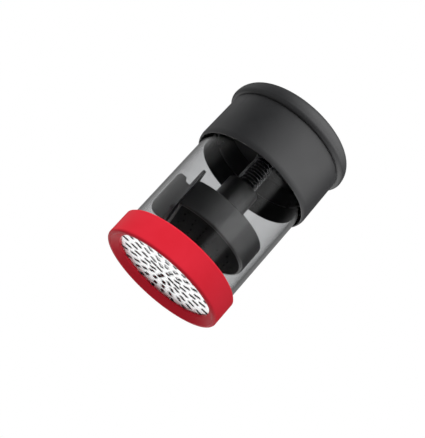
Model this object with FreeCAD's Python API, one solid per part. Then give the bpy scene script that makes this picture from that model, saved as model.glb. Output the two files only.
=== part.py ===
import FreeCAD, Part
import math
import os

# Mechanical nutmeg grater: a clear tube on a red ring that holds the grater plate, and a turning
# cap whose sprung press bears on the nutmegs and sweeps them round over the teeth.
# Z is the turning axis, z = 0 is the foot of the ring. Lengths are millimetres, angles degrees.

# clearances
slip_gap = 0.15             # radial, between pieces that are slipped together and stay put
turn_gap = 0.3              # radial, between faces that turn or slide past each other
shaft_gap = 0.05            # radial, between a shaft and its own bore
axial_gap = 0.2             # along Z, under the thrust washer and over the retaining ring

# clear tube
tube_outer_r = 36.0
tube_wall = 2.4
tube_length = 92.5
tube_bevel = 0.5
tube_bead_h = 0.35          # how far the bead stands out that the red ring snaps over
tube_bead_w = 1.6
tube_bead_up = 6.5          # from the tube's foot to the middle of the bead
tube_groove_d = 0.5         # depth of the groove for the collar's snap fingers
tube_groove_w = 2.0
tube_groove_down = 5.2      # from the tube's top to the middle of the groove

# red ring
ring_wall = 2.95
ring_height = 16.8
ring_foot_round = 1.5
ring_top_bevel = 0.8
ring_lead_in = 0.5
ring_ledge = 1.2            # how far the ledge reaches in past the tube's wall
ring_mouth_flare = 4.2      # how much wider the mouth is than the plate that shows
ring_seat_z = 4.2           # the ledge that carries the plate
ring_lip_h = 1.3            # upright lip of the mouth, just under the plate

# grater plate
plate_t = 0.5
slot_l = 4.2
slot_w = 2.0
fang_n = 3                  # cutting points over each slot
fang_gap = 0.12
fang_depth = 1.0
fang_lean = 0.15
fang_rise = 1.1
fang_sink = 0.1
tooth_sectors = 8
tooth_first_r = 9.2
tooth_rings = 7
tooth_border = 2.25         # from the last ring's middle to the edge that shows
tooth_pair_angle = 8.5      # half the angle between the two slots of a pair
tooth_pair_from = 22.0      # rings at least this large have their slots in pairs
tooth_phase = 12.0          # where the first ring's first slot points
tooth_centre_n = 4
tooth_centre_r = 4.6

# seal between the plate and the tube's foot
seal_t = 0.8
seal_inset = 0.1

# snap collar on the tube's top, which the cap turns on
collar_wall = 1.7
collar_flange_t = 3.0
collar_flange_out = 1.0     # how far the flange stands out past the tube
collar_spigot_l = 7.5
collar_fingers = 6
collar_finger_slot = 3.0
collar_finger_slot_l = 4.2
collar_bead_h = 0.2
oring_r = 0.75
oring_down = 2.0            # from the tube's top to the middle of the O-ring
oring_gap = 0.1

# cap
skirt_gap = 1.3             # between the tube and the skirt
skirt_wall = 1.4
skirt_depth = 21.7          # below the cap's deck
rim_tuck = 0.75             # how far the skirt's rim is rounded in
rim_tuck_h = 3.2
rim_tuck_bow = 0.25         # share of the tuck left part-way up it
skirt_taper = 0.5
deck_t = 2.5
band_wall = 1.4             # wall at the waist
waist_up = 11.0             # from the deck's underside to the waist under the band
waist_in = 0.25             # depth of the fine line at the waist
band_out = 2.6              # how far the band stands out past the waist's skirt
band_h = 3.2                # from the waist to the widest point
crown_h = 10.1              # from the widest point to the top
band_bow = 0.8              # share of the band's flare reached at bow_level of its height
bow_level = 0.3
crown_flat_r = 30.0
cover_t = 2.0
cover_rim_h = 2.6
cover_rim_w = 1.6
cover_dish = 0.6
cover_dish_r = 22.0
cap_ribs = 8                # upright ribs in the cap that carry its cover
cap_rib_w = 1.6
cap_rib_in = 2.4
boss_r = 8.0
boss_h = 4.0
washer_t = 1.0              # thrust washer
retainer_w = 1.3
retainer_t = 1.5
retainer_split = 5.0
retainer_seat = 0.35        # how deep its groove is in the skirt

# spindle, its fasteners and the stop under it
spindle_af = 7.0
spindle_flange_r = 6.8
spindle_flange_t = 1.5
screw_r = 2.0
screw_head_r = 3.8
screw_head_t = 2.6
screw_grip = 8.0
screw_slot_w = 1.0
screw_slot_d = 1.0
flat_washer_r = 6.0
flat_washer_t = 1.0
press_down = 20.0           # travel of the press below its loaded height

# press: a round pad with a neck
nutmeg_room = 28.1          # from the plate to the pad at the loaded height
pad_clearance = 2.75        # between the pad and the tube
pad_h = 17.9
pad_round = 1.2
pad_wall = 2.0
pad_ribs = 6
pad_rib_w = 1.6
neck_r = 10.3
neck_h = 23.7
neck_bevel = 0.8
spring_pocket = 7.1
pocket_r = 7.3
floor_t = 3.0
well_r = 6.6
bush_r = 5.2
bush_flange_t = 1.0

# spring
spring_outer_r = 6.7
spring_wire_r = 0.5
spring_turns = 17.0
spring_sides = 8            # flats of the wire's section

# grip plate under the pad
grip_t = 0.8
grip_edge = 1.6             # pad wall left outside the grip plate
prong_r = 0.9
prong_h = 1.5
prong_rings = 3
prong_pitch = 7.2
prong_first_n = 6           # prongs in the ring nearest the middle, more by this in each ring after it
grip_screw_in = 5.85        # from the pad's edge to the screws
grip_screw_n = 3
csk_r = 2.4
csk_h = 1.2
small_screw_r = 1.1
small_screw_l = 7.0
small_boss_r = 3.0

# sweep vane: an upright wall on the pad's flat side, with a fin out to the tube
vane_offset = 22.3          # from the axis to the wall's outer face
vane_t = 1.7
vane_standoff = 0.7
vane_below = 5.1            # below the pad
vane_above = 6.7            # above the pad
vane_corner = 3.0
fin_below = 5.9
fin_above = 4.8
fin_step_h = 2.2
fin_tab_w = 5.4
fin_foot_round = 6.0
fin_top_round = 2.6
vane_screw_y = 12.0
vane_screw_l = 5.0

# worked out from the sizes above
tube_inner_r = tube_outer_r - tube_wall
ring_bore_r = tube_outer_r + slip_gap
ring_outer_r = ring_bore_r + ring_wall
sight_r = tube_inner_r - ring_ledge
mouth_r = sight_r + ring_mouth_flare
plate_top = ring_seat_z + plate_t
tube_foot = plate_top + seal_t
tube_top = tube_foot + tube_length
collar_top = tube_top + collar_flange_t
collar_outer_r = tube_outer_r + collar_flange_out
collar_spigot_r = tube_inner_r - turn_gap
collar_bore_r = collar_spigot_r - collar_wall
deck_z = collar_top + axial_gap + washer_t
deck_top = deck_z + deck_t
skirt_bore_r = tube_outer_r + skirt_gap
skirt_r = skirt_bore_r + skirt_wall
rim_z = deck_z - skirt_depth
waist_z = deck_z + waist_up
waist_r = skirt_r - skirt_taper - waist_in
band_r = waist_r + waist_in + band_out
band_z = waist_z + band_h
cap_top = band_z + crown_h
boss_top = deck_top + boss_h
tooth_pitch = (sight_r - tooth_border - tooth_first_r) / (tooth_rings - 1)
pad_z = plate_top + nutmeg_room
pad_top = pad_z + pad_h
pad_r = tube_inner_r - pad_clearance
grip_screw_ring = pad_r - grip_screw_in
neck_top = pad_top + neck_h
pocket_z = neck_top - spring_pocket
floor_z = pocket_z - floor_t
spindle_end = floor_z - press_down - shaft_gap
spindle_seat = deck_z - spindle_flange_t
flat_x = -(vane_offset - vane_t - vane_standoff)
fin_r = tube_inner_r - turn_gap


def point(r, z):
    return FreeCAD.Vector(r, 0, z)


def lathe(start, *steps):
    # turns a closed outline about Z: a step is a corner, or a pair of points that an arc runs through
    here = point(*start)
    edges = []
    for step in steps:
        if isinstance(step[0], tuple):
            middle = point(*step[0])
            end = point(*step[1])
            edges.append(Part.Arc(here, middle, end).toShape())
        else:
            end = point(*step)
            edges.append(Part.LineSegment(here, end).toShape())
        here = end
    edges.append(Part.LineSegment(here, point(*start)).toShape())
    face = Part.Face(Part.Wire(edges))
    return face.revolve(FreeCAD.Vector(0, 0, 0), FreeCAD.Vector(0, 0, 1), 360)


def corner(centre_r, centre_z, radius, first, last):
    # the middle and end of a round corner's arc, with its angles counted from +R towards +Z
    half = math.radians((first + last) / 2)
    end = math.radians(last)
    middle_point = (centre_r + radius * math.cos(half), centre_z + radius * math.sin(half))
    end_point = (centre_r + radius * math.cos(end), centre_z + radius * math.sin(end))
    return (middle_point, end_point)


def drum(radius, low, high):
    return Part.makeCylinder(radius, high - low, FreeCAD.Vector(0, 0, low))


def tube_between(inner, outer, low, high):
    return drum(outer, low, high).cut(drum(inner, low, high))


def block(x_low, x_high, y_low, y_high, z_low, z_high):
    size = (x_high - x_low, y_high - y_low, z_high - z_low)
    return Part.makeBox(size[0], size[1], size[2], FreeCAD.Vector(x_low, y_low, z_low))


def prism(points, direction):
    # a closed outline of vectors, pushed along a vector
    wire = Part.makePolygon(points + [points[0]])
    return Part.Face(wire).extrude(direction)


def hexagon(across_flats, low, high):
    reach = across_flats / 2 / math.cos(math.radians(30))
    points = []
    for k in range(6):
        angle = math.radians(60 * k)
        points.append(FreeCAD.Vector(reach * math.cos(angle), reach * math.sin(angle), low))
    return prism(points, FreeCAD.Vector(0, 0, high - low))


def turned(shape, angle):
    copy = shape.copy()
    copy.rotate(FreeCAD.Vector(0, 0, 0), FreeCAD.Vector(0, 0, 1), angle)
    return copy


def pyramid(base, tip):
    # base is four corners in order, tip is the point they rise or fall to
    foot = Part.makePolygon(base + [base[0]])
    return Part.makeLoft([foot, Part.Vertex(tip)], True, True)


# ---- the part that stands still ----

def base_ring():
    foot = ring_outer_r - ring_foot_round
    groove_z = tube_foot + tube_bead_up
    groove_r = ring_bore_r + tube_bead_h
    groove_half = tube_bead_w / 2 + slip_gap
    return lathe(
        (mouth_r, 0),
        (foot, 0),
        corner(foot, ring_foot_round, ring_foot_round, -90, 0),
        (ring_outer_r, ring_height - ring_top_bevel),
        (ring_outer_r - ring_top_bevel, ring_height),
        (ring_bore_r + ring_lead_in, ring_height),
        (ring_bore_r, ring_height - ring_lead_in),
        (ring_bore_r, groove_z + groove_half),
        (groove_r, groove_z + groove_half - tube_bead_h),
        (groove_r, groove_z - groove_half + tube_bead_h),
        (ring_bore_r, groove_z - groove_half),
        (ring_bore_r, ring_seat_z),
        (sight_r, ring_seat_z),
        (sight_r, ring_seat_z - ring_lip_h))


def tooth_places():
    # radius and angle of each slot: rings of slots, each ring half a step round from the last
    places = []
    for k in range(tooth_centre_n):
        places.append((tooth_centre_r, tooth_phase + 360.0 / tooth_centre_n * k))
    step = 360.0 / tooth_sectors
    for ring in range(tooth_rings):
        radius = tooth_first_r + tooth_pitch * ring
        offset = tooth_phase + step / 2 * (ring % 2)
        spread = [0.0]
        if radius >= tooth_pair_from and ring % 2 == 0:
            spread = [-tooth_pair_angle, tooth_pair_angle]
        for k in range(tooth_sectors):
            for side in spread:
                places.append((radius, step * k + offset + side))
    return places


def slot_corners(radius):
    near = radius - slot_l / 2
    far = radius + slot_l / 2
    return [(near, -slot_w / 2), (far, -slot_w / 2), (far, slot_w / 2), (near, slot_w / 2)]


def spun(x, y, z, angle):
    a = math.radians(angle)
    return FreeCAD.Vector(x * math.cos(a) - y * math.sin(a), x * math.sin(a) + y * math.cos(a), z)


def cutting_points(radius, angle):
    # fangs rise along one edge of the slot and lean over it
    width = slot_l / fang_n
    root = slot_w / 2 + fang_gap / 2
    back = root + fang_depth
    z = plate_top - fang_sink
    solids = []
    for k in range(fang_n):
        low = radius - slot_l / 2 + width * k + fang_gap / 2
        high = low + width - fang_gap
        base = [(low, root), (high, root), (high, back), (low, back)]
        corners = [spun(x, y, z, angle) for x, y in base]
        tip = spun((low + high) / 2, root - fang_lean, plate_top + fang_rise, angle)
        solids.append(pyramid(corners, tip))
    return solids


def grater_plate():
    outline = Part.makeCircle(tube_outer_r, FreeCAD.Vector(0, 0, ring_seat_z))
    wires = [Part.Wire(outline)]
    points = []
    for radius, angle in tooth_places():
        corners = [spun(x, y, ring_seat_z, angle) for x, y in slot_corners(radius)]
        wires.append(Part.makePolygon(corners + [corners[0]]))
        points.extend(cutting_points(radius, angle))
    face = Part.makeFace(wires, "Part::FaceMakerBullseye")
    plate = face.extrude(FreeCAD.Vector(0, 0, plate_t))
    return plate.multiFuse(points)


def plate_seal():
    inner = tube_inner_r + seal_inset
    outer = tube_outer_r - seal_inset
    return tube_between(inner, outer, plate_top, tube_foot)


def clear_tube():
    bead_z = tube_foot + tube_bead_up
    bead_r = tube_outer_r + tube_bead_h
    half = tube_bead_w / 2
    groove_z = tube_top - tube_groove_down
    groove_r = tube_inner_r + tube_groove_d
    groove_half = tube_groove_w / 2
    return lathe(
        (tube_inner_r, tube_foot),
        (tube_outer_r - tube_bevel, tube_foot),
        (tube_outer_r, tube_foot + tube_bevel),
        (tube_outer_r, bead_z - half),
        (bead_r, bead_z - half + tube_bead_h),
        (bead_r, bead_z + half - tube_bead_h),
        (tube_outer_r, bead_z + half),
        (tube_outer_r, tube_top - tube_bevel),
        (tube_outer_r - tube_bevel, tube_top),
        (tube_inner_r + tube_bevel, tube_top),
        (tube_inner_r, tube_top - tube_bevel),
        (tube_inner_r, groove_z + groove_half),
        (groove_r, groove_z + groove_half - tube_groove_d),
        (groove_r, groove_z - groove_half + tube_groove_d),
        (tube_inner_r, groove_z - groove_half))


# ---- the collar that the cap turns on ----

def snap_collar():
    foot = tube_top - collar_spigot_l
    bead_z = tube_top - tube_groove_down
    bead_r = collar_spigot_r + collar_bead_h
    ring_z = tube_top - oring_down
    groove_r = collar_spigot_r + turn_gap - oring_gap - 2 * oring_r
    collar = lathe(
        (collar_bore_r, foot),
        (collar_spigot_r - collar_bead_h, foot),
        (bead_r, bead_z - collar_bead_h),
        (bead_r, bead_z + collar_bead_h),
        (collar_spigot_r, bead_z + 2 * collar_bead_h),
        (collar_spigot_r, ring_z - oring_r),
        (groove_r, ring_z - oring_r),
        (groove_r, ring_z + oring_r),
        (collar_spigot_r, ring_z + oring_r),
        (collar_spigot_r, tube_top),
        (collar_outer_r, tube_top),
        (collar_outer_r, collar_top),
        (collar_bore_r, collar_top))
    slots = []
    for k in range(collar_fingers):
        half = collar_finger_slot / 2
        slot = block(0, collar_outer_r, -half, half, foot, foot + collar_finger_slot_l)
        slots.append(turned(slot, 360.0 / collar_fingers * (k + 0.5)))
    return collar.cut(slots)


def collar_oring():
    ring_z = tube_top - oring_down
    middle_r = collar_spigot_r + turn_gap - oring_gap - oring_r
    bevel = oring_r / 2
    low = ring_z - oring_r
    high = ring_z + oring_r
    inner = middle_r - oring_r
    outer = middle_r + oring_r
    return lathe(
        (inner, low),
        (outer - bevel, low),
        (outer, low + bevel),
        (outer, high - bevel),
        (outer - bevel, high),
        (inner, high))


# ---- the cap and what turns with it ----

def cap_shell():
    top_skirt_r = skirt_r - skirt_taper
    rim_r = skirt_r - rim_tuck
    retainer_z = tube_top - axial_gap / 2 - retainer_t
    retainer_r = skirt_bore_r + retainer_seat
    cover_r = cover_seat_r()
    crown_r = (band_r + cover_r) / 2
    shell = lathe(
        (skirt_bore_r, rim_z),
        (rim_r, rim_z),
        ((skirt_r - rim_tuck * rim_tuck_bow, rim_z + rim_tuck_h / 2), (skirt_r, rim_z + rim_tuck_h)),
        (top_skirt_r, waist_z - waist_in),
        (waist_r, waist_z),
        ((waist_r + (band_r - waist_r) * band_bow, waist_z + band_h * bow_level), (band_r, band_z)),
        ((crown_r, crown_z(crown_r)), (cover_r, crown_z(cover_r))),
        (cover_r, cover_foot_z()),
        (waist_r - band_wall, deck_top),
        (0, deck_top),
        (0, deck_z),
        (skirt_bore_r, deck_z),
        (skirt_bore_r, retainer_z + retainer_t),
        (retainer_r, retainer_z + retainer_t),
        (retainer_r, retainer_z),
        (skirt_bore_r, retainer_z))
    inside = [drum(boss_r, deck_z, boss_top)]
    for k in range(cap_ribs):
        half = cap_rib_w / 2
        rib = block(cover_r - cap_rib_in, waist_r - band_wall / 2, -half, half, deck_z, cover_foot_z())
        inside.append(turned(rib, 360.0 / cap_ribs * k))
    return shell.fuse(inside).cut(hexagon(spindle_af, deck_z, boss_top))


def cover_seat_r():
    return (crown_flat_r + band_r) / 2


def cover_foot_z():
    return cap_top - cover_dish - cover_t - cover_rim_h


def crown_z(radius):
    # the crown falls from its flat middle to the widest point as a quarter of an ellipse
    share = (radius - crown_flat_r) / (band_r - crown_flat_r)
    return band_z + crown_h * math.sqrt(max(0.0, 1 - share * share))


def cap_cover():
    outer = cover_seat_r() - slip_gap
    edge_z = crown_z(outer)
    under = cap_top - cover_dish - cover_t
    inner = outer - cover_rim_w
    return lathe(
        (0, cap_top - cover_dish),
        (cover_dish_r, cap_top - cover_dish),
        (cover_dish_r + cover_dish, cap_top),
        (crown_flat_r, cap_top),
        (((crown_flat_r + outer) / 2, crown_z((crown_flat_r + outer) / 2)), (outer, edge_z)),
        (outer, cover_foot_z()),
        (inner, cover_foot_z()),
        (inner, under),
        (0, under))


def thrust_washer():
    return tube_between(collar_bore_r + slip_gap, collar_outer_r - slip_gap, deck_z - washer_t, deck_z)


def retaining_ring():
    low = tube_top - axial_gap / 2 - retainer_t
    outer = skirt_bore_r + retainer_seat - shaft_gap
    inner = outer - retainer_w
    ring = tube_between(inner, outer, low, low + retainer_t)
    half = retainer_split / 2
    return ring.cut(block(0, outer * 2, -half, half, low, low + retainer_t))


def spindle():
    rod = hexagon(spindle_af, spindle_end, boss_top)
    flange = drum(spindle_flange_r, spindle_seat, deck_z)
    rod = rod.fuse(flange)
    lower = drum(screw_r, spindle_end, spindle_end + screw_grip)
    upper = drum(screw_r, boss_top - screw_grip, boss_top)
    return rod.cut([lower, upper])


def machine_screw(seat, direction):
    # seat is the face under the head, direction +1 has its head on top and -1 has it below
    if direction > 0:
        head = drum(screw_head_r, seat, seat + screw_head_t)
        shank = drum(screw_r, seat - flat_washer_t - screw_grip, seat)
        slot_low = seat + screw_head_t - screw_slot_d
    else:
        head = drum(screw_head_r, seat - screw_head_t, seat)
        shank = drum(screw_r, seat, seat + flat_washer_t + screw_grip)
        slot_low = seat - screw_head_t
    half = screw_slot_w / 2
    slot = block(-screw_head_r, screw_head_r, -half, half, slot_low, slot_low + screw_slot_d)
    return head.fuse(shank).cut(slot)


def spindle_washer():
    return tube_between(screw_r, flat_washer_r, boss_top, boss_top + flat_washer_t)


def spindle_screw():
    return machine_screw(boss_top + flat_washer_t, 1)


def stop_washer():
    return tube_between(screw_r, flat_washer_r, spindle_end - flat_washer_t, spindle_end)


def stop_screw():
    return machine_screw(spindle_end - flat_washer_t, -1)


def press_spring():
    low = pocket_z + bush_flange_t + spring_wire_r
    high = spindle_seat - spring_wire_r
    radius = spring_outer_r - spring_wire_r
    helix = Part.makeHelix((high - low) / spring_turns, high - low, radius)
    points = []
    for k in range(spring_sides):
        angle = 2 * math.pi * (k + 0.5) / spring_sides
        points.append(point(radius + spring_wire_r * math.cos(angle), spring_wire_r * math.sin(angle)))
    section = Part.makePolygon(points + [points[0]])
    wire = Part.Wire(helix).makePipeShell([section], True, True)
    wire.translate(FreeCAD.Vector(0, 0, low))
    return wire


# ---- the press ----

def flat_cut(shape, x, low, high):
    # takes off what lies beyond the flat at x
    reach = 2 * tube_outer_r
    return shape.cut(block(-reach, x, -reach, reach, low, high))


def pad_hollow():
    # the room inside the pad, between its deck, its wall, the well's wall and the ribs
    roof = pad_top - pad_wall
    room = drum(pad_r - pad_wall, pad_z, roof)
    room = flat_cut(room, flat_x + pad_wall, pad_z, roof)
    solid = [drum(well_r + pad_wall, pad_z, roof)]
    for k in range(pad_ribs):
        half = pad_rib_w / 2
        rib = block(0, pad_r, -half, half, pad_z + grip_t, roof)
        solid.append(turned(rib, 360.0 / pad_ribs * (k + 0.5)))
    for x, y in grip_screw_places():
        boss = Part.makeCylinder(small_boss_r, roof - pad_z - grip_t, FreeCAD.Vector(x, y, pad_z + grip_t))
        solid.append(boss)
    for side in (-1, 1):
        seat = FreeCAD.Vector(flat_x, side * vane_screw_y, vane_screw_z())
        along = FreeCAD.Vector(1, 0, 0)
        solid.append(Part.makeCylinder(small_boss_r, vane_screw_l + pad_wall, seat, along))
    return room.cut(solid)


def press_body():
    edge = pad_r - pad_round
    body = lathe(
        (well_r, pad_z),
        (edge, pad_z),
        corner(edge, pad_z + pad_round, pad_round, -90, 0),
        (pad_r, pad_top - pad_round),
        corner(edge, pad_top - pad_round, pad_round, 0, 90),
        (neck_r, pad_top),
        (neck_r, neck_top - neck_bevel),
        (neck_r - neck_bevel, neck_top),
        (pocket_r, neck_top),
        (pocket_r, pocket_z),
        (bush_r, pocket_z),
        (bush_r, floor_z),
        (well_r, floor_z))
    body = flat_cut(body, flat_x, pad_z, pad_top)
    pads = []
    cuts = [pad_hollow()]
    for side in (-1, 1):
        low = FreeCAD.Vector(flat_x - vane_standoff, side * vane_screw_y, vane_screw_z())
        along = FreeCAD.Vector(1, 0, 0)
        pads.append(Part.makeCylinder(small_boss_r, vane_standoff + pad_wall, low, along))
        cuts.append(Part.makeCylinder(small_screw_r, vane_standoff + vane_screw_l, low, along))
    for x, y in grip_screw_places():
        cuts.append(countersunk(FreeCAD.Vector(x, y, pad_z), FreeCAD.Vector(0, 0, 1), small_screw_l))
    seat = drum(pad_r - grip_edge, pad_z, pad_z + grip_t)
    cuts.append(flat_cut(seat, flat_x + grip_edge, pad_z, pad_z + grip_t))
    return body.fuse(pads).cut(cuts)


def guide_bush():
    bush = drum(bush_r, floor_z, pocket_z)
    flange = drum(pocket_r - slip_gap, pocket_z, pocket_z + bush_flange_t)
    hole = hexagon(spindle_af + 2 * shaft_gap, floor_z, pocket_z + bush_flange_t)
    return bush.fuse(flange).cut(hole)


def grip_screw_places():
    places = []
    for k in range(grip_screw_n):
        angle = math.radians(360.0 / grip_screw_n * k)
        places.append((grip_screw_ring * math.cos(angle), grip_screw_ring * math.sin(angle)))
    return places


def vane_screw_z():
    return pad_z + pad_h / 2


def prong(x, y):
    # a four-sided point that hangs from the grip plate
    base = []
    for i, j in ((1, 0), (0, 1), (-1, 0), (0, -1)):
        base.append(FreeCAD.Vector(x + prong_r * i, y + prong_r * j, pad_z + grip_t / 2))
    return pyramid(base, FreeCAD.Vector(x, y, pad_z - prong_h))


def grip_plate():
    outer = pad_r - grip_edge - slip_gap
    plate = flat_cut(drum(outer, pad_z, pad_z + grip_t), flat_x + grip_edge + slip_gap, pad_z, pad_z + grip_t)
    prongs = [prong(0, 0)]
    for ring in range(1, prong_rings + 1):
        count = prong_first_n * ring
        for k in range(count):
            angle = math.radians(360.0 / count * (k + 0.5 * (ring % 2)))
            x = prong_pitch * ring * math.cos(angle)
            y = prong_pitch * ring * math.sin(angle)
            if x > flat_x + grip_edge + 2 * prong_r:
                prongs.append(prong(x, y))
    holes = []
    for x, y in grip_screw_places():
        holes.append(countersunk(FreeCAD.Vector(x, y, pad_z), FreeCAD.Vector(0, 0, 1), small_screw_l))
    return plate.fuse(prongs).cut(holes)


def countersunk(seat, along, length):
    # a flush screw: seat is the middle of its head's face, along points down its shank
    head = Part.makeCone(csk_r, small_screw_r, csk_h, seat, along)
    shank = Part.makeCylinder(small_screw_r, length, seat, along)
    return head.fuse(shank)


def grip_screws():
    screws = []
    for x, y in grip_screw_places():
        screws.append(countersunk(FreeCAD.Vector(x, y, pad_z), FreeCAD.Vector(0, 0, 1), small_screw_l))
    return Part.makeCompound(screws)


def rounded_panel(corners, radii):
    # a wire through the corners, each rounded by its own radius
    edges = []
    count = len(corners)
    starts = []
    ends = []
    middles = []
    for k in range(count):
        here = corners[k]
        back = (corners[k - 1] - here).normalize()
        ahead = (corners[(k + 1) % count] - here).normalize()
        half = back.getAngle(ahead) / 2
        reach = radii[k] / math.tan(half)
        bisector = (back + ahead).normalize()
        centre = here + bisector * (radii[k] / math.sin(half))
        starts.append(here + back * reach)
        ends.append(here + ahead * reach)
        middles.append(centre - bisector * radii[k])
    for k in range(count):
        if radii[k] > 0:
            edges.append(Part.Arc(starts[k], middles[k], ends[k]).toShape())
        edges.append(Part.LineSegment(ends[k], starts[(k + 1) % count]).toShape())
    return Part.Wire(edges)


def sweep_vane():
    x = -vane_offset
    half = math.sqrt(fin_r * fin_r - vane_offset * vane_offset)
    low = pad_z - vane_below
    high = pad_top + vane_above
    corners = [
        FreeCAD.Vector(x, -half, low),
        FreeCAD.Vector(x, half, low),
        FreeCAD.Vector(x, half, high),
        FreeCAD.Vector(x, -half, high)]
    wall = Part.Face(rounded_panel(corners, [vane_corner] * 4)).extrude(FreeCAD.Vector(vane_t, 0, 0))
    y = -vane_t / 2
    tip = -math.sqrt(fin_r * fin_r - y * y)
    fin_low = pad_z - fin_below
    fin_high = pad_top + fin_above
    step = tip + fin_tab_w
    outline = [
        FreeCAD.Vector(x + vane_t / 2, y, fin_low),
        FreeCAD.Vector(tip, y, fin_low),
        FreeCAD.Vector(tip, y, fin_high),
        FreeCAD.Vector(step, y, fin_high),
        FreeCAD.Vector(step + fin_step_h / 2, y, fin_high - fin_step_h),
        FreeCAD.Vector(x + vane_t / 2, y, fin_high - fin_step_h)]
    radii = [0, fin_foot_round, fin_top_round, fin_step_h / 4, fin_step_h / 4, 0]
    fin = Part.Face(rounded_panel(outline, radii)).extrude(FreeCAD.Vector(0, vane_t, 0))
    holes = []
    for side in (-1, 1):
        seat = FreeCAD.Vector(x, side * vane_screw_y, vane_screw_z())
        holes.append(countersunk(seat, FreeCAD.Vector(1, 0, 0), vane_t + vane_standoff + vane_screw_l))
    return wall.fuse(fin).cut(holes)


def vane_screws():
    screws = []
    for side in (-1, 1):
        seat = FreeCAD.Vector(-vane_offset, side * vane_screw_y, vane_screw_z())
        screws.append(countersunk(seat, FreeCAD.Vector(1, 0, 0), vane_t + vane_standoff + vane_screw_l))
    return Part.makeCompound(screws)


pieces = {
    "base_ring": base_ring,
    "grater_plate": grater_plate,
    "plate_seal": plate_seal,
    "clear_tube": clear_tube,
    "snap_collar": snap_collar,
    "collar_oring": collar_oring,
    "cap_shell": cap_shell,
    "cap_cover": cap_cover,
    "thrust_washer": thrust_washer,
    "retaining_ring": retaining_ring,
    "spindle": spindle,
    "spindle_washer": spindle_washer,
    "spindle_screw": spindle_screw,
    "stop_washer": stop_washer,
    "stop_screw": stop_screw,
    "press_spring": press_spring,
    "press_body": press_body,
    "guide_bush": guide_bush,
    "grip_plate": grip_plate,
    "grip_screws": grip_screws,
    "sweep_vane": sweep_vane,
    "vane_screws": vane_screws,
}

os.makedirs("parts", exist_ok=True)
for name, make in pieces.items():
    shape = make()
    shape.exportStep("parts/" + name + ".step")
    state = "valid" if shape.isValid() else "INVALID"
    print(name, len(shape.Solids), "solids", round(shape.Volume, 1), "mm3", state)
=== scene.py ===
import bpy
import bmesh
import math
from mathutils import Euler, Matrix, Vector


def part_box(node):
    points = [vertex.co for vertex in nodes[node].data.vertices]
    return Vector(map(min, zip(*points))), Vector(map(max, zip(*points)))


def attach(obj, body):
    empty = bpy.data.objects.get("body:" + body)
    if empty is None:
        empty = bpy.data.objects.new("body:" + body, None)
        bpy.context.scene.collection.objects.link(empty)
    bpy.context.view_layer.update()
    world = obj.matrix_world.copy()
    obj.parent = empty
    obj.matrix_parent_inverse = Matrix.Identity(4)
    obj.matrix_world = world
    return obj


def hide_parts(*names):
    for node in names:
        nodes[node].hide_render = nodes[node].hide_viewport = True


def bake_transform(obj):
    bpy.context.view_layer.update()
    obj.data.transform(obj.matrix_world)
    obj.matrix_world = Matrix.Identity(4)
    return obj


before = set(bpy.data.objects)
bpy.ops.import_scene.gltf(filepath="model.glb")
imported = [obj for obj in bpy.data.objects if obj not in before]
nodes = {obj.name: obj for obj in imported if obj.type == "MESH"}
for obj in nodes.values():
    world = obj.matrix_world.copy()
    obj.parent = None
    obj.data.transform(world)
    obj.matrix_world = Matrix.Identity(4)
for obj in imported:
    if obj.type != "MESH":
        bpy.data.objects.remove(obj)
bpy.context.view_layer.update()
mm = 0.001

# small helpers for objects and node trees

def addObject(name, data):
    made = bpy.data.objects.new(name, data)
    bpy.context.scene.collection.objects.link(made)
    return made

def makePiece(name, shape, material):
    mesh = bpy.data.meshes.new(name)
    shape.to_mesh(mesh)
    shape.free()
    mesh.materials.append(material)
    return addObject(name, mesh)

def towards(azimuth, height):
    # the direction of a place in the room, in degrees from +X and above the horizon
    azimuth, height = math.radians(azimuth), math.radians(height)
    return Vector((math.cos(height) * math.cos(azimuth),
                   math.cos(height) * math.sin(azimuth),
                   math.sin(height)))

def link(tree, source, target):
    tree.links.new(source, target)

def addNode(tree, kind, **settings):
    node = tree.nodes.new(kind)
    for key, value in settings.items():
        setattr(node, key, value)
    return node

def mathNode(tree, operation, first, second=None, clamp=False):
    node = addNode(tree, "ShaderNodeMath", operation=operation, use_clamp=clamp)
    for socket, value in zip(node.inputs, (first, second)):
        if isinstance(value, (int, float)):
            socket.default_value = value
        elif value is not None:
            link(tree, value, socket)
    return node.outputs[0]

def plus(tree, first, second):
    return mathNode(tree, "ADD", first, second)

def minus(tree, first, second):
    return mathNode(tree, "SUBTRACT", first, second)

def times(tree, first, second, clamp=False):
    return mathNode(tree, "MULTIPLY", first, second, clamp)

def larger(tree, first, second):
    return mathNode(tree, "MAXIMUM", first, second)

def mapRange(tree, value, fromLow, fromHigh, toLow, toHigh, ease="LINEAR"):
    node = addNode(tree, "ShaderNodeMapRange", interpolation_type=ease)
    link(tree, value, node.inputs["Value"])
    node.inputs["From Min"].default_value = fromLow
    node.inputs["From Max"].default_value = fromHigh
    node.inputs["To Min"].default_value = toLow
    node.inputs["To Max"].default_value = toHigh
    return node.outputs["Result"]

def maskOf(tree, value, edges):
    # 0 up to the first edge and 1 from the second on
    return mapRange(tree, value, *edges, 0.0, 1.0)

def dotProduct(tree, first, second):
    node = addNode(tree, "ShaderNodeVectorMath", operation="DOT_PRODUCT")
    link(tree, first, node.inputs[0])
    if isinstance(second, Vector):
        node.inputs[1].default_value = second
    else:
        link(tree, second, node.inputs[1])
    return node.outputs["Value"]

def mixColour(tree, factor, first, second):
    node = addNode(tree, "ShaderNodeMix", data_type="RGBA")
    link(tree, factor, node.inputs["Factor"])
    colourSockets = [s for s in node.inputs if s.type == "RGBA"]
    for socket, value in zip(colourSockets, (first, second)):
        if hasattr(value, "default_value"):
            link(tree, value, socket)
        else:
            socket.default_value = (*value, 1.0)
    return [s for s in node.outputs if s.type == "RGBA"][0]

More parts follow.
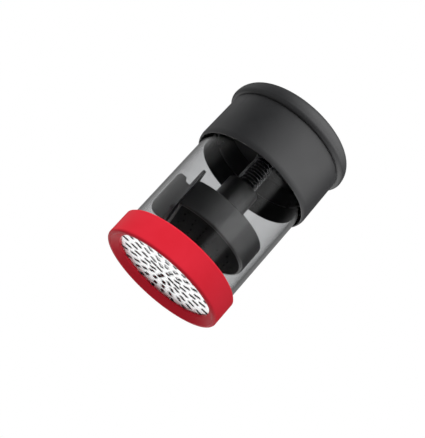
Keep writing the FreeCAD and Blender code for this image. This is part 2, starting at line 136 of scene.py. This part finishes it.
def mixValue(tree, factor, first, second):
    node = addNode(tree, "ShaderNodeMix", data_type="FLOAT")
    link(tree, factor, node.inputs["Factor"])
    link(tree, first, node.inputs["A"])
    link(tree, second, node.inputs["B"])
    return node.outputs["Result"]

def stretched(tree, vector, scale):
    node = addNode(tree, "ShaderNodeMapping")
    link(tree, vector, node.inputs["Vector"])
    node.inputs["Scale"].default_value = scale
    return node.outputs["Vector"]

def noise(tree, vector, scale, detail=2.0, roughness=0.5):
    node = addNode(tree, "ShaderNodeTexNoise")
    link(tree, vector, node.inputs["Vector"])
    if isinstance(scale, (int, float)):
        node.inputs["Scale"].default_value = scale
    else:
        link(tree, scale, node.inputs["Scale"])
    node.inputs["Detail"].default_value = detail
    node.inputs["Roughness"].default_value = roughness
    return node.outputs["Fac"]

def newGroup(name, inputs, outputs):
    group = bpy.data.node_groups.new(name, "ShaderNodeTree")
    for label, kind, value in inputs:
        socket = group.interface.new_socket(name=label, in_out="INPUT", socket_type=kind)
        if value is not None:
            socket.default_value = value
    for label, kind in outputs:
        group.interface.new_socket(name=label, in_out="OUTPUT", socket_type=kind)
    return group, group.nodes.new("NodeGroupInput"), group.nodes.new("NodeGroupOutput")

def placeGroup(tree, group, position, **values):
    node = addNode(tree, "ShaderNodeGroup", node_tree=group)
    link(tree, position, node.inputs["Position"])
    for label, value in values.items():
        node.inputs[label].default_value = value
    return node.outputs

def blurredRay(tree, path):
    # 1 for what a slightly rough face mirrors
    return times(tree, path.outputs["Is Glossy Ray"], minus(tree, 1.0, path.outputs["Is Singular Ray"]))

def seenRay(tree, path):
    # 1 for what the camera sees, also through something clear
    return larger(tree, path.outputs["Is Camera Ray"], path.outputs["Is Transmission Ray"])

def mixSurfaces(tree, factor, first, second):
    mixed = addNode(tree, "ShaderNodeMixShader")
    link(tree, factor, mixed.inputs["Fac"])
    link(tree, first.outputs["BSDF"], mixed.inputs[1])
    link(tree, second.outputs["BSDF"], mixed.inputs[2])
    link(tree, mixed.outputs["Shader"], tree.nodes["Material Output"].inputs["Surface"])

# effects that several finishes share

grainLook = {"fine": 0.6, "pits": 0.4, "pitEdges": (0.1, 0.6), "cloudEdges": (0.3, 0.7)}

def makeMouldGrain(look):
    # spark-eroded grain of a moulding tool, and slow cloudiness from the melt
    group, given, out = newGroup("mouldGrain", [
        ("Position", "NodeSocketVector", None),
        ("Grain", "NodeSocketFloat", 3500.0),
        ("Clouds", "NodeSocketFloat", 45.0)],
        [("Height", "NodeSocketFloat"), ("Cloud", "NodeSocketFloat")])
    position = given.outputs["Position"]
    fine = noise(group, position, given.outputs["Grain"], detail=3.0, roughness=0.6)
    cells = addNode(group, "ShaderNodeTexVoronoi", feature="SMOOTH_F1")
    link(group, position, cells.inputs["Vector"])
    link(group, given.outputs["Grain"], cells.inputs["Scale"])
    pits = maskOf(group, cells.outputs["Distance"], look["pitEdges"])
    height = plus(group, times(group, fine, look["fine"]), times(group, pits, look["pits"]))
    link(group, height, out.inputs["Height"])
    cloud = noise(group, position, given.outputs["Clouds"], detail=4.0, roughness=0.55)
    link(group, maskOf(group, cloud, look["cloudEdges"]), out.inputs["Cloud"])
    return group

scuffLook = {"across": (1.0, 1.0, 0.06), "acrossEdges": (0.64, 0.72),
             "around": (0.12, 0.12, 1.6), "aroundEdges": (0.66, 0.74),
             "places": 38.0, "placeEdges": (0.45, 0.65)}

def makeScuffs(look):
    # thin rubbed lines that hands and a table leave, up the part and round it, in scattered patches
    group, given, out = newGroup("scuffs", [
        ("Position", "NodeSocketVector", None),
        ("Lines", "NodeSocketFloat", 260.0),
        ("Amount", "NodeSocketFloat", 0.5)],
        [("Mask", "NodeSocketFloat")])
    position, scale = given.outputs["Position"], given.outputs["Lines"]
    across = noise(group, stretched(group, position, look["across"]), scale, detail=3.0)
    around = noise(group, stretched(group, position, look["around"]), scale, detail=2.0)
    lines = larger(group, maskOf(group, across, look["acrossEdges"]),
                   maskOf(group, around, look["aroundEdges"]))
    places = maskOf(group, noise(group, position, look["places"]), look["placeEdges"])
    masked = times(group, times(group, lines, places), given.outputs["Amount"], clamp=True)
    link(group, masked, out.inputs["Mask"])
    return group

edgeLook = {"samples": 4, "turned": (0.99, 0.80), "breaks": 620.0, "breakEdges": (0.35, 0.60)}

def makeEdgeSoft(look):
    # real corners are a little round and rubbed: a rounded normal, and a mask that is broken up along them;
    # the mask carries edge wear, and on the grater plate a painted shade round the slots
    group, given, out = newGroup("edgeSoft", [
        ("Position", "NodeSocketVector", None),
        ("Radius", "NodeSocketFloat", 0.0003),
        ("Amount", "NodeSocketFloat", 0.5)],
        [("Mask", "NodeSocketFloat"), ("Normal", "NodeSocketVector")])
    rounded = addNode(group, "ShaderNodeBevel", samples=look["samples"])
    link(group, given.outputs["Radius"], rounded.inputs["Radius"])
    flat = addNode(group, "ShaderNodeNewGeometry").outputs["Normal"]
    edge = maskOf(group, dotProduct(group, rounded.outputs["Normal"], flat), look["turned"])
    broken = noise(group, given.outputs["Position"], look["breaks"], detail=3.0)
    broken = maskOf(group, broken, look["breakEdges"])
    edgeWearAndShade = times(group, times(group, edge, broken), given.outputs["Amount"], clamp=True)
    link(group, edgeWearAndShade, out.inputs["Mask"])
    link(group, rounded.outputs["Normal"], out.inputs["Normal"])
    return group

brushLook = {"broad": 700.0, "fineShare": 0.5, "broadShare": 0.5, "toneEdges": (0.35, 0.65)}

def makeBrushed(look):
    # fine parallel lines that a rolling mill or an abrasive belt leaves, along the axis that is stretched
    group, given, out = newGroup("brushedLines", [
        ("Position", "NodeSocketVector", None),
        ("Lines", "NodeSocketFloat", 4000.0)],
        [("Height", "NodeSocketFloat"), ("Tone", "NodeSocketFloat")])
    position = given.outputs["Position"]
    fine = noise(group, position, given.outputs["Lines"], detail=2.0, roughness=0.7)
    broad = noise(group, position, look["broad"], detail=3.0, roughness=0.6)
    link(group, fine, out.inputs["Height"])
    tone = plus(group, times(group, fine, look["fineShare"]), times(group, broad, look["broadShare"]))
    link(group, maskOf(group, tone, look["toneEdges"]), out.inputs["Tone"])
    return group

cutLook = {"steep": (0.95, 0.85)}  # how upright the normal is on a face not cut at all, and on one fully cut

def makeCutFaceShade(look):
    # paints shade on the steep faces that a punch leaves below one height: the slot walls and the lower
    # faces of the teeth are darkened as if in shadow
    group, given, out = newGroup("cutFaces", [
        ("Position", "NodeSocketVector", None),
        ("Top", "NodeSocketFloat", 0.001),
        ("Fade", "NodeSocketFloat", 0.0003)],
        [("Mask", "NodeSocketFloat")])
    normal = addNode(group, "ShaderNodeSeparateXYZ")
    link(group, addNode(group, "ShaderNodeNewGeometry").outputs["True Normal"], normal.inputs[0])
    steep = maskOf(group, mathNode(group, "ABSOLUTE", normal.outputs["Z"]), look["steep"])
    place = addNode(group, "ShaderNodeSeparateXYZ")
    link(group, given.outputs["Position"], place.inputs[0])
    under = minus(group, given.outputs["Top"], place.outputs["Z"])
    low = mathNode(group, "DIVIDE", under, given.outputs["Fade"], clamp=True)
    link(group, times(group, steep, low), out.inputs["Mask"])
    return group

mouldGrain = makeMouldGrain(grainLook)
scuffs = makeScuffs(scuffLook)
edgeSoft = makeEdgeSoft(edgeLook)
brushedLines = makeBrushed(brushLook)
cutFaces = makeCutFaceShade(cutLook)
print("effects made")

# finishes

def startMaterial(name):
    material = bpy.data.materials.new(name)
    material.use_nodes = True
    tree = material.node_tree
    position = addNode(tree, "ShaderNodeTexCoord").outputs["Object"]
    return material, tree, tree.nodes["Principled BSDF"], position

def addBump(tree, shader, height, strength, distance, under):
    bump = addNode(tree, "ShaderNodeBump")
    bump.inputs["Strength"].default_value = strength
    bump.inputs["Distance"].default_value = distance
    link(tree, height, bump.inputs["Height"])
    link(tree, under, bump.inputs["Normal"])
    link(tree, bump.outputs["Normal"], shader.inputs["Normal"])

everyPlastic = {"ior": 1.49, "edge": 0.0003, "edgeWearAndShadeAmount": 0.25, "scuffHaze": 0.12, "edgeShine": 0.08,
                "scuffDepth": 0.5, "bump": 0.00006}

plastics = {
    "redPlastic": {
        "colour": (0.75, 0.022, 0.040), "light": (0.80, 0.028, 0.050), "edgeWearAndShade": (0.82, 0.07, 0.10),
        "rough": (0.30, 0.38), "gloss": 0.03, "grain": 5200.0, "depth": 0.10, "scuff": 0.35},
    "capPlastic": {
        "colour": (0.016, 0.0163, 0.0175), "light": (0.021, 0.0213, 0.0225), "edgeWearAndShade": (0.06, 0.06, 0.062),
        "rough": (0.42, 0.54), "gloss": 0.5, "grain": 3600.0, "depth": 0.35, "scuff": 0.5},
    "pressPlastic": {
        "colour": (0.014, 0.014, 0.015), "light": (0.019, 0.019, 0.020), "edgeWearAndShade": (0.05, 0.05, 0.05),
        "rough": (0.34, 0.42), "gloss": 0.8, "grain": 4200.0, "depth": 0.25, "scuff": 0.6},
    "collarPlastic": {
        "colour": (0.012, 0.012, 0.013), "light": (0.018, 0.018, 0.019), "edgeWearAndShade": (0.04, 0.04, 0.04),
        "rough": (0.34, 0.46), "gloss": 0.5, "grain": 4200.0, "depth": 0.2, "scuff": 0.3},
    "whitePlastic": {
        "colour": (0.74, 0.73, 0.69), "light": (0.80, 0.79, 0.76), "edgeWearAndShade": (0.84, 0.83, 0.80),
        "rough": (0.36, 0.46), "gloss": 0.5, "grain": 4800.0, "depth": 0.15, "scuff": 0.3},
    "blackCoat": {
        "colour": (0.009, 0.009, 0.0095), "light": (0.014, 0.014, 0.0145), "edgeWearAndShade": (0.10, 0.10, 0.10),
        "rough": (0.60, 0.74), "gloss": 0.05, "grain": 2800.0, "depth": 0.3, "scuff": 0.6},
    "sealRubber": {
        "colour": (0.016, 0.016, 0.017), "light": (0.030, 0.029, 0.028), "edgeWearAndShade": (0.06, 0.06, 0.06),
        "rough": (0.68, 0.85), "gloss": 0.4, "grain": 2600.0, "depth": 0.4, "scuff": 0.8},
}

def makePlastic(name, own):
    look = {**everyPlastic, **own}
    material, tree, shader, position = startMaterial(name)
    grain = placeGroup(tree, mouldGrain, position, Grain=look["grain"])
    rubbed = placeGroup(tree, scuffs, position, Amount=look["scuff"])
    edges = placeGroup(tree, edgeSoft, position, Radius=look["edge"], Amount=look["edgeWearAndShadeAmount"])
    colour = mixColour(tree, grain["Cloud"], look["colour"], look["light"])
    link(tree, mixColour(tree, edges["Mask"], colour, look["edgeWearAndShade"]), shader.inputs["Base Color"])
    roughness = mapRange(tree, grain["Cloud"], 0.0, 1.0, *look["rough"])
    roughness = plus(tree, roughness, times(tree, rubbed["Mask"], look["scuffHaze"]))
    roughness = minus(tree, roughness, times(tree, edges["Mask"], look["edgeShine"]))
    link(tree, roughness, shader.inputs["Roughness"])
    height = minus(tree, grain["Height"], times(tree, rubbed["Mask"], look["scuffDepth"]))
    addBump(tree, shader, height, look["depth"], look["bump"], edges["Normal"])
    shader.inputs["IOR"].default_value = look["ior"]
    shader.inputs["Specular IOR Level"].default_value = look["gloss"]
    return material

everyMetal = {"edge": 0.00012, "edgeWearAndShadeAmount": 0.5, "scuff": 0.4, "scuffHaze": 0.15, "bump": 0.00003}

metals = {
    # painted shade: the plate's dark edge colour, with a wide radius and a large amount, darkens a band
    # round every slot
    "plateSteel": {
        "colour": (0.93, 0.933, 0.936), "dark": (0.82, 0.825, 0.83), "edgeWearAndShade": (0.03, 0.03, 0.032),
        "rough": (0.18, 0.32), "stretch": (0.03, 1.0, 1.0), "lines": 3600.0, "depth": 0.35,
        # painted shade: the cut colour darkens the slots' walls and the lower faces of the teeth
        "cut": (0.02, 0.02, 0.021), "cutTop": 0.0055, "cutHaze": 0.35, "edge": 0.0014, "edgeWearAndShadeAmount": 8.0},
    "drawnSteel": {
        "colour": (0.10, 0.10, 0.102), "dark": (0.06, 0.06, 0.062), "edgeWearAndShade": (0.13, 0.13, 0.1326),
        "rough": (0.30, 0.42), "stretch": (1.0, 1.0, 0.02), "lines": 3200.0, "depth": 0.3},
    "springSteel": {
        "colour": (0.13, 0.13, 0.134), "dark": (0.05, 0.05, 0.052), "edgeWearAndShade": (0.169, 0.169, 0.1742),
        "rough": (0.05, 0.09), "stretch": (0.25, 0.25, 1.0), "lines": 2600.0, "depth": 0.2},
    "zincSteel": {
        "colour": (0.70, 0.70, 0.68), "dark": (0.52, 0.52, 0.50), "edgeWearAndShade": (0.91, 0.91, 0.884),
        "rough": (0.24, 0.38), "stretch": (1.0, 1.0, 1.0), "lines": 2400.0, "depth": 0.25},
}

def makeMetal(name, own):
    look = {**everyMetal, **own}
    material, tree, shader, position = startMaterial(name)
    marks = placeGroup(tree, brushedLines, stretched(tree, position, look["stretch"]), Lines=look["lines"])
    rubbed = placeGroup(tree, scuffs, position, Amount=look["scuff"])
    edges = placeGroup(tree, edgeSoft, position, Radius=look["edge"], Amount=look["edgeWearAndShadeAmount"])
    colour = mixColour(tree, marks["Tone"], look["dark"], look["colour"])
    # edge wear on most metals; on the grater plate this is a painted shade round the slots
    colour = mixColour(tree, edges["Mask"], colour, look["edgeWearAndShade"])
    smooth, matt = look["rough"]
    roughness = mapRange(tree, marks["Tone"], 0.0, 1.0, matt, smooth)
    roughness = plus(tree, roughness, times(tree, rubbed["Mask"], look["scuffHaze"]))
    shader.inputs["Metallic"].default_value = 1.0
    if "cut" in look:
        # painted shade: the cut faces turn near-black and lose their metal shine, so the slots read as dark
        # holes
        cuts = placeGroup(tree, cutFaces, position, Top=look["cutTop"])
        link(tree, minus(tree, 1.0, cuts["Mask"]), shader.inputs["Metallic"])
        colour = mixColour(tree, cuts["Mask"], colour, look["cut"])
        roughness = plus(tree, roughness, times(tree, cuts["Mask"], look["cutHaze"]))
    link(tree, colour, shader.inputs["Base Color"])
    link(tree, roughness, shader.inputs["Roughness"])
    addBump(tree, shader, marks["Height"], look["depth"], look["bump"], edges["Normal"])
    return material

clearLook = {"tint": (0.70, 0.705, 0.71), "hazy": (0.67, 0.675, 0.68), "rubbed": (0.645, 0.65, 0.655),
             "clouds": 28.0, "lines": 180.0, "scuff": 0.5, "ior": 1.49, "gloss": (0.35, 0.35, 0.35),
             "lit": (0.55, 0.55, 0.55), "sheen": (0.95, 0.95, 0.95)}

def makeClear(look):
    # clear moulded plastic; light reaches what is inside straight through it
    material, tree, shader, position = startMaterial("clearPlastic")
    grain = placeGroup(tree, mouldGrain, position, Clouds=look["clouds"])
    rubbed = placeGroup(tree, scuffs, position, Lines=look["lines"], Amount=look["scuff"])
    colour = mixColour(tree, grain["Cloud"], look["tint"], look["hazy"])
    link(tree, mixColour(tree, rubbed["Mask"], colour, look["rubbed"]), shader.inputs["Base Color"])
    shader.inputs["Roughness"].default_value = 0.0  # any haze would mirror the soft boxes as white streaks
    shader.inputs["IOR"].default_value = look["ior"]
    shader.inputs["Transmission Weight"].default_value = 1.0
    shader.inputs["Specular Tint"].default_value = (*look["gloss"], 1.0)
    path = addNode(tree, "ShaderNodeLightPath")
    sheen = blurredRay(tree, path)
    fromInside = larger(tree, path.outputs["Is Shadow Ray"], path.outputs["Is Diffuse Ray"])
    through = addNode(tree, "ShaderNodeBsdfTransparent")
    link(tree, mixColour(tree, sheen, look["lit"], look["sheen"]), through.inputs["Color"])
    mixSurfaces(tree, larger(tree, fromInside, sheen), shader, through)
    return material

materials = {name: makePlastic(name, look) for name, look in plastics.items()}
materials.update({name: makeMetal(name, look) for name, look in metals.items()})
materials["clearPlastic"] = makeClear(clearLook)

finishes = {
    "base_ring": "redPlastic", "grater_plate": "plateSteel", "plate_seal": "sealRubber",
    "clear_tube": "clearPlastic", "snap_collar": "collarPlastic", "collar_oring": "sealRubber",
    "cap_shell": "capPlastic", "cap_cover": "capPlastic", "thrust_washer": "collarPlastic",
    "retaining_ring": "blackCoat", "spindle": "drawnSteel", "spindle_washer": "zincSteel",
    "spindle_screw": "zincSteel", "stop_washer": "zincSteel", "stop_screw": "zincSteel",
    "press_spring": "springSteel", "press_body": "pressPlastic", "guide_bush": "whitePlastic",
    "grip_plate": "blackCoat", "grip_screws": "blackCoat", "sweep_vane": "pressPlastic",
    "vane_screws": "zincSteel",
}
for node, finish in finishes.items():
    data = nodes[node].data
    data.materials.clear()
    data.materials.append(materials[finish])
print("finishes placed")

# flush screws with a cross recess and a thread, in place of the plain ones; their sizes are in mm

screwLook = {"headRadius": 2.4, "headHeight": 1.2, "rim": 0.12, "shankRadius": 0.86, "tipShare": 0.25,
             "crest": 1.07, "pitch": 0.85, "ridgeHalf": 0.34, "ridgeFoot": 0.94, "stepsPerTurn": 18,
             "crossArm": 1.35, "crossWidth": 0.52, "crossDepth": 1.05, "crossTaper": 0.55}

gripCircle = {"radius": 25.0, "height": 32.8, "count": 3}
vanePair = {"face": -22.3, "across": 12.0, "height": 41.75}

def circleSeats(look):
    turns = [math.radians(360 * k / look["count"]) for k in range(look["count"])]
    return [(look["radius"] * math.cos(a), look["radius"] * math.sin(a), look["height"]) for a in turns]

flushScrews = {
    "gripScrews": {"stands": "grip_screws", "slot": "black_steel", "finish": "blackCoat", "length": 7.0,
                   "along": (0, 0, 1), "seats": circleSeats(gripCircle)},
    "vaneScrews": {"stands": "vane_screws", "slot": "steel", "finish": "zincSteel", "length": 7.4,
                   "along": (1, 0, 0), "seats": [(vanePair["face"], y, vanePair["height"])
                                                 for y in (-vanePair["across"], vanePair["across"])]},
}

def loopEdges(verts):
    chosen = set(verts)
    return list({e for v in verts for e in v.link_edges if e.other_vert(v) in chosen})

def carryOn(shape, edges, scale, depth):
    # pushes an open edge loop on along the screw, and makes it wider or narrower
    made = bmesh.ops.extrude_edge_only(shape, edges=edges)["geom"]
    verts = [g for g in made if isinstance(g, bmesh.types.BMVert)]
    bmesh.ops.scale(shape, verts=verts, vec=(scale, scale, 1))
    bmesh.ops.translate(shape, verts=verts, vec=(0, 0, depth))
    return [g for g in made if isinstance(g, bmesh.types.BMEdge) and all(v in verts for v in g.verts)]

def crossOutline(shape, look):
    # a plus sign drawn corner by corner: one arm's end and the inner corner after it, four times round
    arm, half = look["crossArm"], look["crossWidth"] / 2
    corners = [(arm, -half), (arm, 0), (arm, half), (half, half)]
    verts = []
    for turn in range(4):
        spinBy = Matrix.Rotation(math.radians(90 * turn), 3, "Z")
        verts += [shape.verts.new(spinBy @ Vector((x, y, 0))) for x, y in corners]
    return verts, [shape.edges.new((verts[k - 1], verts[k])) for k in range(len(verts))]

def makeFlushScrew(look, length):
    # the middle of the head's face is at the origin and the shank points along +Z
    headRadius, shankRadius, rim = look["headRadius"], look["shankRadius"], look["rim"]
    shape = bmesh.new()
    cross, crossEdges = crossOutline(shape, look)
    face = bmesh.ops.create_circle(shape, segments=len(cross), radius=headRadius - rim)["verts"]
    faceEdges = loopEdges(face)
    bmesh.ops.bridge_loops(shape, edges=crossEdges + faceEdges)
    well = carryOn(shape, crossEdges, look["crossTaper"], look["crossDepth"])
    bmesh.ops.contextual_create(shape, geom=well)
    edges = carryOn(shape, faceEdges, headRadius / (headRadius - rim), rim)
    edges = carryOn(shape, edges, shankRadius / headRadius, look["headHeight"] - rim)
    edges = carryOn(shape, edges, 1.0, length - look["headHeight"] - shankRadius)
    edges = carryOn(shape, edges, look["tipShare"], shankRadius)
    bmesh.ops.contextual_create(shape, geom=edges)
    addThread(shape, look, length)
    bmesh.ops.recalc_face_normals(shape, faces=shape.faces)
    bmesh.ops.triangulate(shape, faces=[f for f in shape.faces if len(f.verts) > 4])
    return shape

def addThread(shape, look, length):
    # one ridge wound round the shank, its foot sunk a little into it
    half = look["pitch"] * look["ridgeHalf"]
    foot = look["shankRadius"] * look["ridgeFoot"]
    start = look["headHeight"] + look["pitch"]
    turns = (length - start - look["shankRadius"] - half) / look["pitch"]
    corners = [(foot, -half), (look["crest"], 0), (foot, half)]
    verts = [shape.verts.new((r, 0, start + z)) for r, z in corners]
    section = shape.faces.new(verts)
    steps = int(turns * look["stepsPerTurn"])
    rise = look["pitch"] / look["stepsPerTurn"]
    bmesh.ops.spin(shape, geom=[section] + list(section.edges) + verts, cent=(0, 0, 0), axis=(0, 0, 1),
                   dvec=(0, 0, rise), angle=math.tau * steps / look["stepsPerTurn"], steps=steps)

def placeFlushScrews(name, screws):
    whole = bmesh.new()
    for seat in screws["seats"]:
        screw = makeFlushScrew(screwLook, screws["length"])
        facing = Vector((0, 0, 1)).rotation_difference(Vector(screws["along"])).to_matrix().to_4x4()
        screw.transform(Matrix.Translation(Vector(seat) * mm) @ facing @ Matrix.Scale(mm, 4))
        part = bpy.data.meshes.new("screw")
        screw.to_mesh(part)
        screw.free()
        whole.from_mesh(part)
        bpy.data.meshes.remove(part)
    piece = makePiece(name, whole, materials[screws["finish"]])
    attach(piece, "press")
    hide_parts(screws["stands"])

for name, screws in flushScrews.items():
    placeFlushScrews(name, screws)
print("screws made")

# the press spring, with a closed coil at each end; it fills the plain spring's place between the cap and the
# press

springLook = {"wire": 0.001, "turns": 16, "closedTurns": 1, "closedRise": 0.00104, "sides": 12,
              "stepsPerTurn": 32, "finish": "springSteel", "slot": "black_steel"}

def makePressSpring(look):
    low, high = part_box("press_spring")
    wire, closedTurns, closedRise = look["wire"], look["closedTurns"], look["closedRise"]
    shape = bmesh.new()
    disc = bmesh.ops.create_circle(shape, cap_ends=True, segments=look["sides"], radius=wire / 2)
    section, upright = disc["verts"], Matrix.Rotation(math.radians(90), 3, "X")
    bmesh.ops.rotate(shape, verts=section, cent=(0, 0, 0), matrix=upright)
    bmesh.ops.translate(shape, verts=section, vec=(high[0] - wire / 2, 0, low[2] + wire / 2))
    openTurns = look["turns"] - 2 * closedTurns
    openRise = (high[2] - low[2] - wire - 2 * closedTurns * closedRise) / openTurns
    geometry = shape.verts[:] + shape.edges[:] + shape.faces[:]
    for turns, rise in ((closedTurns, closedRise), (openTurns, openRise), (closedTurns, closedRise)):
        made = bmesh.ops.spin(shape, geom=geometry, cent=(0, 0, 0), axis=(0, 0, 1), angle=math.tau * turns,
                              dvec=(0, 0, rise / look["stepsPerTurn"]), steps=turns * look["stepsPerTurn"])
        geometry = made["geom_last"]
    bmesh.ops.recalc_face_normals(shape, faces=shape.faces)
    for face in shape.faces:
        face.smooth = len(face.verts) == 4
    spring = makePiece("pressSpring", shape, materials[look["finish"]])
    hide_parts("press_spring")
    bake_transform(spring)

makePressSpring(springLook)
print("spring made")

# the room: what the light comes from and what shiny faces mirror

roomLook = {"soft": (0.28, 0.66), "table": 0.35, "tableEdge": (0.14, -0.20), "walls": 0.05,
            "mirrored": (0.03, 0.22), "mirroredEdge": (0.2, 0.9), "deep": 0.12,
            "windows": [{"azimuth": -57, "height": 17, "spread": (0.93, 0.985), "level": 1.4},
                        {"azimuth": 160, "height": 17, "spread": (0.74, 0.93), "level": 0.28}],
            "boxes": [{"azimuth": -46, "height": 45, "spread": (0.38, 0.97), "level": 2.6},
                      {"azimuth": 150, "height": 20, "spread": (0.78, 0.97), "level": 0.5},
                      {"azimuth": 90, "height": -26, "spread": (0.76, 0.93), "level": 0.8},
                      {"azimuth": 24, "height": -34, "spread": (0.62, 0.93), "level": 1.5}]}

def softBox(tree, direction, look):
    facing = dotProduct(tree, direction, towards(look["azimuth"], look["height"]))
    return mapRange(tree, facing, *look["spread"], 0.0, look["level"], "SMOOTHSTEP")

def makeWorld(look):
    # white behind everything, soft as a light, a table with soft boxes for the sheen of rough faces,
    # and a dim room with two windows for what the clear tube mirrors
    world = bpy.data.worlds.new("studio")
    bpy.context.scene.world = world
    world.use_nodes = True
    world.cycles.sampling_method = "NONE"  # each kind of ray meets its own room
    tree = world.node_tree
    background = tree.nodes["Background"]
    path = addNode(tree, "ShaderNodeLightPath")
    direction = addNode(tree, "ShaderNodeTexCoord").outputs["Generated"]
    parts = addNode(tree, "ShaderNodeSeparateXYZ")
    link(tree, direction, parts.inputs[0])
    upwards = parts.outputs["Z"]
    soft = mapRange(tree, upwards, -1.0, 1.0, *look["soft"])
    room = mapRange(tree, upwards, *look["tableEdge"], look["walls"], look["table"], "SMOOTHSTEP")
    for box in look["boxes"]:
        room = plus(tree, room, softBox(tree, direction, box))
    dim = mapRange(tree, parts.outputs["Y"], *look["mirroredEdge"], *look["mirrored"])
    for window in look["windows"]:
        dim = plus(tree, dim, softBox(tree, direction, window))
    # after one mirror or more, and behind three clear faces or more
    mirrored = mathNode(tree, "GREATER_THAN", path.outputs["Glossy Depth"], 0.5)
    deep = mathNode(tree, "GREATER_THAN", path.outputs["Transmission Depth"], 2.5)
    dim = times(tree, dim, mapRange(tree, deep, 0.0, 1.0, 1.0, look["deep"]))
    level = mixValue(tree, mirrored, soft, dim)
    level = mixValue(tree, blurredRay(tree, path), level, room)
    seen = times(tree, seenRay(tree, path), minus(tree, 1.0, mirrored))
    background.inputs["Color"].default_value = (1.0, 1.0, 1.0, 1.0)
    link(tree, larger(tree, level, seen), background.inputs["Strength"])

floorLook = {"size": 6.0, "colour": (0.90, 0.90, 0.90), "light": (0.92, 0.92, 0.92), "clouds": 30.0,
             "rough": 0.9, "near": 0.18, "far": 0.9, "lift": (0.38, 1.0)}

def makeFloorPaint(look):
    # seen from above, with the shadow; from below it lets everything through
    material, tree, shader, position = startMaterial("floorPaint")
    clouds = noise(tree, position, look["clouds"], detail=3.0)
    link(tree, mixColour(tree, clouds, look["colour"], look["light"]), shader.inputs["Base Color"])
    shader.inputs["Roughness"].default_value = look["rough"]
    away = addNode(tree, "ShaderNodeVectorMath", operation="LENGTH")
    link(tree, position, away.inputs[0])
    lift = mapRange(tree, away.outputs["Value"], look["near"], look["far"], *look["lift"])
    link(tree, lift, shader.inputs["Emission Color"])
    shader.inputs["Emission Strength"].default_value = 1.0
    path = addNode(tree, "ShaderNodeLightPath")
    backfacing = addNode(tree, "ShaderNodeNewGeometry").outputs["Backfacing"]
    through = addNode(tree, "ShaderNodeBsdfTransparent")
    shown = times(tree, seenRay(tree, path), minus(tree, 1.0, backfacing))
    mixSurfaces(tree, shown, through, shader)
    return material

def makeFloor(look):
    shape = bmesh.new()
    bmesh.ops.create_grid(shape, x_segments=1, y_segments=1, size=look["size"] / 2)
    makePiece("floor", shape, makeFloorPaint(look))

lamps = {
    "keyLamp": {"azimuth": -130, "height": 30, "away": 1.0, "size": 0.8, "power": 6.2},
    "fillLamp": {"azimuth": -50, "height": 35, "away": 1.0, "size": 0.8, "power": 2.4},
}
lampAim = (0.0, 0.0, 0.06)

def makeLamp(name, look, aim):
    data = bpy.data.lights.new(name, "AREA")
    data.shape = "DISK"
    data.size = look["size"]
    data.energy = look["power"]
    lamp = addObject(name, data)
    outward = towards(look["azimuth"], look["height"])
    lamp.location = Vector(aim) + outward * look["away"]
    lamp.rotation_euler = outward.to_track_quat("Z", "Y").to_euler()
    lamp.visible_glossy = False  # shiny faces mirror the room, not the lamps
    lamp.visible_transmission = False

cameraLook = {"place": (0.0, -0.65721, -0.19689), "turn": (116.5771, -38.7732, -17.2972),
              "lens": 101.2586, "sensor": 36.0, "nearest": 0.01}

def makeCamera(look):
    data = bpy.data.cameras.new("camera")
    data.sensor_fit = "VERTICAL"
    data.sensor_height = look["sensor"]
    data.lens = look["lens"]
    data.clip_start = look["nearest"]
    camera = addObject("camera", data)
    camera.location = look["place"]
    camera.rotation_euler = Euler([math.radians(a) for a in look["turn"]])
    bpy.context.scene.camera = camera

makeWorld(roomLook)
makeFloor(floorLook)
for name, look in lamps.items():
    makeLamp(name, look, lampAim)
makeCamera(cameraLook)
bpy.context.scene.view_settings.view_transform = "Standard"
print("stage set")
